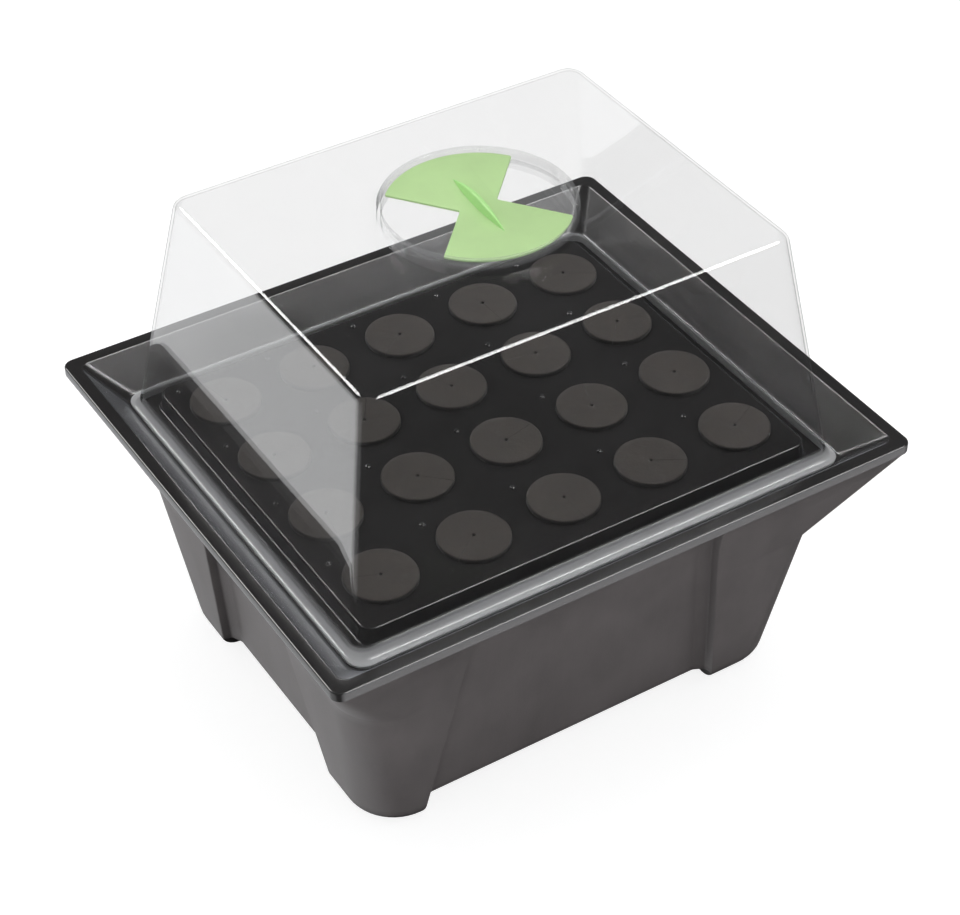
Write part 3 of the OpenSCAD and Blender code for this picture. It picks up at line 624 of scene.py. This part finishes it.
def build_tank():
    outer = object_from("tank_shell", loft(tank_levels(0, 0, SEAT_Z)))
    cut_channels(outer, 0)
    inner = object_from("inner", loft(tank_levels(TANK_T, TANK_T, SEAT_Z + 5)))
    cut_channels(inner, TANK_T)
    cut_by(outer, inner)
    low, high = box_mm("cable_grommet")
    hole_r, reach = 6.5, 15
    verts, faces = lathe([(AXIS, -reach), (hole_r, -reach), (hole_r, reach), (AXIS, reach)], 40)
    across_wall = Matrix.Rotation(math.radians(-90) - math.atan(TAPER), 4, "X")
    tilt = Matrix.Translation((low + high) / 2) @ across_wall
    cut(outer, ([tuple(tilt @ Vector(v)) for v in verts], faces))
    finish_piece(outer, "base", MATS["tank"], ["tank"], 30)

# ---- Collar plate ----

def build_tray():
    # (distance inside the edge, height, corner radius) from the underside out round the lip to the plate
    path = [
        (52.6, LEDGE_Z + 9.6, 7), (50.6, LEDGE_Z - 2.4, 7), (29.9, LEDGE_Z - 2.4, 12), (8.4, SEAT_Z, 8),
        (2.5, SEAT_Z, 5.5), (2.5, RIM_Z - 7, 5.5), (0, RIM_Z - 7, 8), (0, RIM_Z, 8), (9.5, RIM_Z, 7),
        (30.8, LEDGE_Z, 11), (48.0, LEDGE_Z, 10), (49.6, PLATE_Z, 9), (56, PLATE_Z, 6),
    ]
    radii = [0, 2.5, 3, 2, 0.8, 0.5, 0.4, 1.1, 1.8, 4, 1.6, 1.3, 0]
    levels = [inset(d, r, z, 12) for d, z, r in fillet(path, radii, 5)]
    obj = object_from("collar_plate", loft(levels))
    hole_r, hole_low, hole_high = 23.5, LEDGE_Z - 10, PLATE_Z + 3
    hole = [(AXIS, hole_low), (hole_r, hole_low), (hole_r, hole_high), (AXIS, hole_high)]
    # a small round bump stands beside each hole
    bump = [(AXIS, -1.2), (2.3, -1.2), (2.3, -0.1), (2.1, 0.5), (1.6, 1.0), (0.8, 1.3), (AXIS, 1.38)]
    holes = []
    bumps = []
    for node in COLLARS:
        x, y = collar_centre(node)
        holes.append(lathe(hole, 64, (x, y, 0)))
        bumps.append(lathe(bump, 20, (x - 21.5, y + 29, PLATE_Z)))
    cut(obj, join(*holes))
    cut(obj, join(*bumps), "UNION")
    finish_piece(obj, "plate", MATS["tray"], ["tray"], 28)

# ---- Foam collars ----

# half the width of the slit that lets a stem in
SLIT_HALF = 0.1

def build_collar(node, index):
    """A slit foam plug with a soft, slightly uneven head."""
    x0, y0 = collar_centre(node)
    col, row = int(node[-1]), "abcd".index(node[-2]) + 1
    spin = math.radians(57 * col + 101 * row)
    core, body, head = 1.1, 23.3, 24.8
    low, high = -14.0, 3.4
    corners = [(core, low), (body, low), (body, -0.05), (head, 0.05), (head, high), (core, high)]
    outline = fillet(corners, [0.5, 2.0, 0.3, 0.3, 1.1, 0.6], 4, closed=True)
    dense = []
    for i, (r, z) in enumerate(outline):
        dense.append((r, z))
        r2, z2 = outline[(i + 1) % len(outline)]
        parts = int(math.hypot(r2 - r, z2 - z) / 3.2) + 1
        for k in range(1, parts):
            t = k / parts
            dense.append((mix(r, r2, t), mix(z, z2, t)))
    n = 84
    verts = []
    seed = Vector((index * 7.3, index * 3.1, 0))
    for r, z in dense:
        gap = math.asin(min(0.9, SLIT_HALF / r))
        for k in range(n + 1):
            a = gap + (2 * math.pi - 2 * gap) * k / n
            c, s = math.cos(a), math.sin(a)
            rough = noise.fractal(Vector((c * r * 0.22, s * r * 0.22, z * 0.3)) + seed, 0.8, 2.2, 4)
            worn, drop = r, 0.0
            if z > 0.3 and r > head - 2:
                worn = max(r - 0.28 * abs(rough), 1.0)
            if z > 2.5:
                drop = 0.25 * abs(noise.noise(Vector((c * r * 0.12, s * r * 0.12, 5.0)) + seed))
            verts.append((worn * c, worn * s, z - drop))
    m = len(dense)
    faces = []
    for i in range(m):
        for k in range(n):
            a, b = i * (n + 1) + k, (i + 1) % m * (n + 1) + k
            faces.append((a, a + 1, b + 1, b))
    faces.append(tuple(i * (n + 1) for i in range(m)))
    faces.append(tuple(i * (n + 1) + n for i in reversed(range(m))))
    c, s = math.cos(spin), math.sin(spin)
    placed = [(x0 + x * c - y * s, y0 + x * s + y * c, PLATE_Z + z) for x, y, z in verts]
    obj = object_from("foam_" + node, (placed, faces))
    finish_piece(obj, "site_" + node[-2:], MATS["foam"], [node], 40)

# ---- Dome ----

# half sizes at the foot, the walls' lean, the sheet's thickness and the roof's height
DOME_X, DOME_Y = RIM_X - 35.2, RIM_Y - 37.9
LEAN = 0.161
DOME_T = 1.8
DOME_TOP = LEDGE_Z + 176.6
# the vent's round collar, and the seat inside it that the shutter turns on
VENT_R, VENT_TOP = 65.5, DOME_TOP + 12.4
SEAT_TOP, SEAT_T = DOME_TOP + 7.6, 1.8
DOME_STEPS = 8

def dome_ring(e, r, z):
    """The dome's leaning wall at height z, moved in by e, with corner radius r."""
    lean = LEAN * (z - LEDGE_Z)
    return with_sides(ring(DOME_X - lean - e, DOME_Y - lean - e, r, z, DOME_STEPS), DOME_STEPS)

def circle_like(level, r, z):
    """A circle with one point for each of the level's points, in the same directions."""
    out = []
    for x, y, _ in level:
        length = math.hypot(x, y)
        out.append((x / length * r, y / length * r, z))
    return out

def sector(angle, r0, r1, z0, z1, turn):
    """A sector prism with rounded corners, for one of the vent's openings."""
    n_out, n_in, r_corner = 24, 8, 1.5
    half = math.radians(angle / 2)
    turns = [(r0, -half)]
    turns += [(r1, mix(-half, half, k / n_out)) for k in range(n_out + 1)]
    turns += [(r0, mix(half, -half, k / n_in)) for k in range(n_in)]
    plan = [(r * math.cos(a), r * math.sin(a)) for r, a in turns]
    radii = [r_corner, r_corner] + [0] * (n_out - 1) + [r_corner, r_corner] + [0] * (n_in - 1)
    plan = fillet(plan, radii, 4, closed=True)
    c, s = math.cos(math.radians(turn)), math.sin(math.radians(turn))
    levels = [[(x * c - y * s, x * s + y * c, z) for x, y in plan] for z in (z0, z1)]
    return loft(levels)

def build_dome():
    # the bend between wall and roof, and the wall's corner radius
    edge, corner = 5.0, 11
    def bend(t, angles):
        """The rounded edge of the roof, t inside the sheet's outer face."""
        r = edge - t
        levels = []
        for a in angles:
            s, c = math.sin(math.radians(a)), math.cos(math.radians(a))
            z = DOME_TOP - edge + r * c
            levels.append(dome_ring(edge - r * s, max(corner - t, 2), z))
        return levels
    up = list(range(0, 91, 11)) + [90]
    inner = bend(DOME_T, up)
    outer = bend(0, reversed(up))
    wall_z = [LEDGE_Z + h for h in (150, 120, 90, 60, 30, 14)]
    inside = [dome_ring(DOME_T, corner - DOME_T, z) for z in wall_z]
    outside = [dome_ring(0, corner, z) for z in reversed(wall_z)]
    # the flat flange on the ledge: (distance inside the tray's edge, corner radius, height)
    flange = [(32.0, 12, 0), (31.7, 12.2, 0.4), (31.7, 12.2, 1.8), (32.1, 12, 2.2)]
    # the swept foot above the flange: (distance inside the wall, corner radius, height)
    swept = [
        (-2.7, 11.5, 2.2), (-1.9, 11.3, 2.8), (-1.2, 11.2, 3.8),
        (-0.6, corner, 5.2), (-0.2, corner, 7.0), (0, corner, 9.0),
    ]
    foot = [dome_ring(DOME_T, 9.2, LEDGE_Z + 0.6), dome_ring(DOME_T - 0.6, 9.6, LEDGE_Z)]
    foot += [with_sides(inset(d, r, LEDGE_Z + h, DOME_STEPS), DOME_STEPS) for d, r, h in flange]
    foot += [dome_ring(e, r, LEDGE_Z + h) for e, r, h in swept]
    # (radius, height) up the vent's collar, over its lip, down to its seat and back under the roof
    ring_in, bore = VENT_R - 1.9, 4.05
    vent = [
        ((VENT_R + 100) / 2, DOME_TOP), (VENT_R + 1.5, DOME_TOP), (VENT_R + 0.4, DOME_TOP + 0.5),
        (VENT_R, DOME_TOP + 1.5), (VENT_R, VENT_TOP - 0.9), (VENT_R - 0.3, VENT_TOP - 0.2),
        (VENT_R - 0.9, VENT_TOP), (ring_in - 0.3, VENT_TOP), (ring_in - 0.8, VENT_TOP - 0.5),
        (ring_in - 0.8, SEAT_TOP), (bore, SEAT_TOP), (bore, SEAT_TOP - SEAT_T),
        (ring_in - 0.6, SEAT_TOP - SEAT_T), (ring_in - 0.5, DOME_TOP - DOME_T + 0.3),
    ]
    top = [circle_like(outer[-1], r, z) for r, z in vent]
    under = [circle_like(inner[0], ring_in - 0.5, DOME_TOP - DOME_T)]
    obj = object_from("dome_shell", loft(under + inner + inside + foot + outside + outer + top, loop=True))
    openings = [sector(90, 20, 56, SEAT_TOP - 4, SEAT_TOP + 3, turn) for turn in (90, 270)]
    cut(obj, join(*openings))
    finish_piece(obj, "dome", MATS["dome"], ["dome"], 40)

# ---- Vent shutter ----

# how far the shutter is turned at rest, and its radius
SHUTTER_TURN = math.radians(-3)
SHUTTER_R = 61.5
# how near the gaps' points come to the centre, and the angle each wing spans
GAP_TIP, WING_ANGLE = 13.5, 100

def shutter_plan():
    """Outline of the two wings, anticlockwise: a disc with two pointed gaps."""
    plan, radii = [], []
    steps = 28
    for turn, tip in ((90, -GAP_TIP), (270, GAP_TIP)):
        for k in range(steps + 1):
            a = math.radians(turn - WING_ANGLE / 2 + WING_ANGLE * k / steps)
            plan.append((SHUTTER_R * math.cos(a), SHUTTER_R * math.sin(a)))
            radii.append(1.5 if k in (0, steps) else 0)
        plan.append((tip, 0))
        radii.append(2.0)
    return fillet(plan, radii, 4, closed=True)

def offset_plan(plan, d):
    """The outline moved inwards by d."""
    out, n = [], len(plan)
    for i in range(n):
        a, p, c = Vector(plan[i - 1]), Vector(plan[i]), Vector(plan[(i + 1) % n])
        e1, e2 = (p - a), (c - p)
        if e1.length < 1e-6 or e2.length < 1e-6:
            out.append(tuple(p))
            continue
        n1, n2 = Vector((-e1.y, e1.x)).normalized(), Vector((-e2.y, e2.x)).normalized()
        nn = n1 + n2
        nn = nn.normalized() / max(0.6, nn.length / 2)
        out.append(tuple(p + nn * d))
    return out

def build_shutter():
    z0 = SEAT_TOP + 0.2
    c, s = math.cos(SHUTTER_TURN), math.sin(SHUTTER_TURN)
    plan = [(x * c - y * s, x * s + y * c) for x, y in shutter_plan()]
    path = [(0.4, 0), (0, 0.3), (0, 1.25), (0.12, 1.47), (0.4, 1.6)]
    levels = [[(x, y, z0 + h) for x, y in offset_plan(plan, d)] for d, h in path]
    plate = object_from("vent_shutter_plate", loft(levels))
    boss = [(AXIS, z0 - 5), (3.6, z0 - 5), (4.0, z0 - 4.6), (4.0, z0 + 0.5), (AXIS, z0 + 0.5)]
    cut(plate, lathe(boss, 40), "UNION")
    finish_piece(plate, "shutter", MATS["green"], ["vent_shutter"], 35)
    # the finger ridge: a slim blade, arched along its top and pointed at both ends
    half_l, half_w, height = 34.0, 3.0, 6.5
    steps = 48
    levels = []
    for k in range(steps + 1):
        u = -math.cos(math.pi * k / steps)
        w, h = max(half_w * (1 - u * u), 0.1), max(height * (1 - u * u), 0.15)
        corners = [(-w, 0), (w, 0), (w * 0.55, h), (-w * 0.55, h)]
        section = fillet(corners, [0, 0, w * 0.5, w * 0.5], 4, closed=True)
        levels.append([(x * c - u * half_l * s, x * s + u * half_l * c, z0 + 1.58 + z) for x, z in section])
    ridge = object_from("vent_shutter_ridge", loft(levels))
    finish_piece(ridge, "shutter", MATS["ridge"], [], 40)

# ---- Cable and plug ----

def spline(points, steps):
    """A smooth curve through the points."""
    out = []
    for i in range(len(points) - 1):
        a, b = points[max(i - 1, 0)], points[i]
        c, d = points[i + 1], points[min(i + 2, len(points) - 1)]
        for k in range(steps):
            t = k / steps
            square = (a - 2.5 * b + 2 * c - d / 2) * t * t
            cube = (1.5 * b - a / 2 - 1.5 * c + d / 2) * t ** 3
            out.append(b + (c - a) / 2 * t + square + cube)
    out.append(points[-1])
    return out

def sweep(path, r, n):
    """A round tube along the path, with no twist."""
    turns = [2 * math.pi * k / n for k in range(n)]
    side = Vector((0, 0, 1))
    levels = []
    for i, p in enumerate(path):
        along = (path[min(i + 1, len(path) - 1)] - path[max(i - 1, 0)]).normalized()
        side = (side - side.dot(along) * along).normalized()
        other = along.cross(side)
        levels.append([tuple(p + r * (side * math.cos(a) + other * math.sin(a))) for a in turns])
    return loft(levels)

def cable_path():
    """From the pump out through the grommet, round the hank and down to the plug."""
    low, high = box_mm("cable_grommet")
    g = (low + high) / 2
    tilt = math.atan(TAPER)
    out = Vector((0, math.cos(tilt), -math.sin(tilt)))
    low, high = box_mm("pump_body")
    at = Vector((high.x + 12, (low.y + high.y) / 2, low.z + 18))
    plan = [(-60, 0), (-66, 0), (-72, 0), (-78, 0), (-90, 4), (-106, 24), (-110, 66), (-86, 112)]
    points = [at + Vector((x, y, 24 - 0.16 * max(0, y))) for x, y in plan]
    points += [Vector((g.x - 10, 124, 66)), Vector((g.x, 130, 100)), Vector((g.x, 132, 125))]
    points += [g + out * reach for reach in (-9, -3, 3, 9)]
    points.append(Vector((g.x, 160.5, 129)))
    # two turns of the hank, each lying beside the one before
    hank, half_x, half_z, pitch = Vector((8, 153, 104)), 48, 26, 7
    for turn in range(180, 901, 45):
        a = math.radians(turn)
        along = Vector((half_x * math.cos(a), pitch * (turn - 180) / 360, half_z * math.sin(a)))
        points.append(hank + along)
    plug = plug_place()
    points += [plug + Vector((0, 0, h)) for h in (56, 40, 31)]
    return points

def plug_place():
    """The middle of the plug's lower end."""
    low, high = box_mm("plug_body")
    return Vector(((low.x + high.x) / 2, (low.y + high.y) / 2, low.z))

def build_cable():
    obj = object_from("power_lead", sweep(spline(cable_path(), 8), 3.0, 18))
    finish_piece(obj, "base", MATS["cable"], ["power_cable"], 60)

def build_plug():
    """A flat two-pin plug: soft-cornered body that narrows to a ribbed sleeve."""
    at = plug_place()
    # (height, half width, half depth, corner radius)
    stations = [
        (0.0, 16.9, 6.2, 3.2), (0.6, 17.5, 6.85, 3.6), (8, 17.5, 6.85, 3.8), (11, 16.2, 6.85, 4.2),
        (15.5, 13.6, 6.6, 5), (20, 10.4, 6.3, 5.6), (24, 7.6, 6.0, 5.6), (26, 6.4, 5.6, 5.4),
    ]
    # the sleeve's ribs
    z = 26.6
    while z < 34:
        stations += [(z, 5.2, 4.6, 4.4), (z + 0.5, 5.9, 5.3, 5.1)]
        stations += [(z + 1.4, 5.8, 5.2, 5.0), (z + 1.9, 5.1, 4.5, 4.3)]
        z += 2.7
    stations.append((35, 4.4, 4.2, 4.1))
    levels = []
    for height, half_x, half_y, r in stations:
        level = ring(half_x, half_y, min(r, half_x, half_y) - 0.05, height, 6)
        levels.append([(at.x + x, at.y + y, at.z + h) for x, y, h in level])
    obj = object_from("plug_shell", loft(levels))
    finish_piece(obj, "base", MATS["cable"], ["plug_body"], 50)

build_tank()
build_tray()
for i, node in enumerate(COLLARS):
    build_collar(node, i)
build_dome()
build_shutter()
build_cable()
build_plug()

# ---- Stage, light and camera ----

LOBES = [
    # direction, half angle that is fully lit, half angle where it ends, strength, colour
    ((-0.6, 0.5, -0.62), 38, 52, 0.95, (0.98, 0.99, 1.0)),
    ((-0.35, 0.65, 0.67), 10, 15, 18.0, (1.0, 1.0, 1.0)),
    ((0.41, -0.3, 0.86), 13, 18, 18.0, (1.0, 1.0, 1.0)),
    ((0.41, 0.65, 0.64), 20, 45, 0.12, (1.0, 1.0, 1.0)),
]

def studio_world():
    """White to the camera, an even dim fill to matte surfaces, and soft boxes to mirrored rays."""
    world = bpy.data.worlds.new("studio")
    bpy.context.scene.world = world
    world.use_nodes = True
    tree = world.node_tree
    tree.nodes.clear()
    link = tree.links.new

    def background(color, strength):
        node = tree.nodes.new("ShaderNodeBackground")
        node.inputs["Color"].default_value = (*color, 1)
        node.inputs["Strength"].default_value = strength
        return node

    way = tree.nodes.new("ShaderNodeTexCoord").outputs["Generated"]
    mirrored = background((1, 1, 1), 0.05).outputs[0]
    for direction, full, end, strength, color in LOBES:
        dot = tree.nodes.new("ShaderNodeVectorMath")
        dot.operation = "DOT_PRODUCT"
        link(way, dot.inputs[0])
        dot.inputs[1].default_value = Vector(direction).normalized()
        fall = tree.nodes.new("ShaderNodeMapRange")
        fall.interpolation_type = "SMOOTHSTEP"
        link(dot.outputs["Value"], fall.inputs["Value"])
        fall.inputs["From Min"].default_value = math.cos(math.radians(end))
        fall.inputs["From Max"].default_value = math.cos(math.radians(full))
        fall.inputs["To Max"].default_value = strength
        box = background(color, 1.0)
        link(fall.outputs["Result"], box.inputs["Strength"])
        total = tree.nodes.new("ShaderNodeAddShader")
        link(mirrored, total.inputs[0])
        link(box.outputs[0], total.inputs[1])
        mirrored = total.outputs[0]
    path = tree.nodes.new("ShaderNodeLightPath")
    matte = background((0.99, 0.99, 1), 0.5).outputs[0]
    white = background((1, 1, 1), 1.0).outputs[0]
    seen = matte
    for ray, shader in (("Is Glossy Ray", mirrored), ("Is Camera Ray", white)):
        mixer = tree.nodes.new("ShaderNodeMixShader")
        link(path.outputs[ray], mixer.inputs[0])
        link(seen, mixer.inputs[1])
        link(shader, mixer.inputs[2])
        seen = mixer.outputs[0]
    link(seen, tree.nodes.new("ShaderNodeOutputWorld").inputs["Surface"])

def area_light(name, location, target, size, power):
    """A square lamp that lights matte surfaces and isn't seen in mirrors."""
    light = bpy.data.lights.new(name, "AREA")
    light.shape = "SQUARE"
    light.size = size
    light.energy = power
    obj = bpy.data.objects.new(name, light)
    bpy.context.scene.collection.objects.link(obj)
    obj.location = location
    obj.rotation_mode = "QUATERNION"
    obj.rotation_quaternion = (Vector(target) - Vector(location)).to_track_quat("-Z", "Y")
    obj.visible_glossy = False

def build_floor():
    """A round pale floor; to the camera it is darker and glows, which lights it evenly."""
    n, z = 48, -0.05
    turns = [2 * math.pi * k / n for k in range(n)]
    radii = [300, 600, 1200, 2500, 6000]
    verts = [(0, 0, z)] + [(r * math.cos(a), r * math.sin(a), z) for r in radii for a in turns]
    faces = [(0, 1 + k, 1 + (k + 1) % n) for k in range(n)]
    for i in range(len(radii) - 1):
        a, b = 1 + i * n, 1 + (i + 1) * n
        faces += [(a + k, b + k, b + (k + 1) % n, a + (k + 1) % n) for k in range(n)]
    floor = object_from("floor", (verts, faces))
    mat = Nodes("floor_pale")
    tone = mat.noise(3, 3, 0.5, mat.coords())
    bsdf = mat.add("BsdfPrincipled", Roughness=0.8)
    seen = mat.add("LightPath").outputs["Is Camera Ray"]
    pale = mat.ramp(tone, [(0.3, (0.86, 0.86, 0.86)), (0.7, (0.9, 0.9, 0.9))])
    mat.set(bsdf, "Base Color", mat.mixed("MixRGB", seen, pale, (0.32, 0.32, 0.32, 1)))
    glow = mat.add("Emission", Color=(1, 1, 1, 1), Strength=mat.math("MULTIPLY", seen, 0.84))
    lit = mat.add("AddShader")
    mat.set(lit, 0, bsdf.outputs[0])
    mat.set(lit, 1, glow.outputs[0])
    floor.data.materials.append(mat.surface(lit.outputs[0]))
    floor.visible_glossy = False

studio_world()
build_floor()
area_light("key_left", (-1.6, 0.3, 1.1), (0, 0, 0.15), 1.2, 4)
area_light("top_soft", (0.2, 0.3, 1.9), (0, 0, 0.1), 1.6, 14)
area_light("front_fill", (0.3, -1.8, 0.5), (0, 0, 0.12), 1.2, 5)

# the photograph's viewing angle and the point looked at, in metres
AZIMUTH, ELEVATION = math.radians(-32.351), math.radians(39.95)
TARGET, DISTANCE = Vector((-0.0249, -0.0412, 0.201)), 1.6545
SENSOR_MM, LENS_MM = 36, 92.51
camera_data = bpy.data.cameras.new("camera")
camera_data.sensor_width, camera_data.lens = SENSOR_MM, LENS_MM
camera = bpy.data.objects.new("camera", camera_data)
bpy.context.scene.collection.objects.link(camera)
level = math.cos(ELEVATION)
back = Vector((math.sin(AZIMUTH) * level, -math.cos(AZIMUTH) * level, math.sin(ELEVATION)))
camera.location = TARGET + back * DISTANCE
camera.rotation_mode = "QUATERNION"
camera.rotation_quaternion = (-back).to_track_quat("-Z", "Y")
camera_data.clip_start, camera_data.clip_end = 0.05, 50
bpy.context.scene.camera = camera
bpy.context.scene.view_settings.view_transform = "Standard"
bpy.context.scene.view_settings.look = "None"
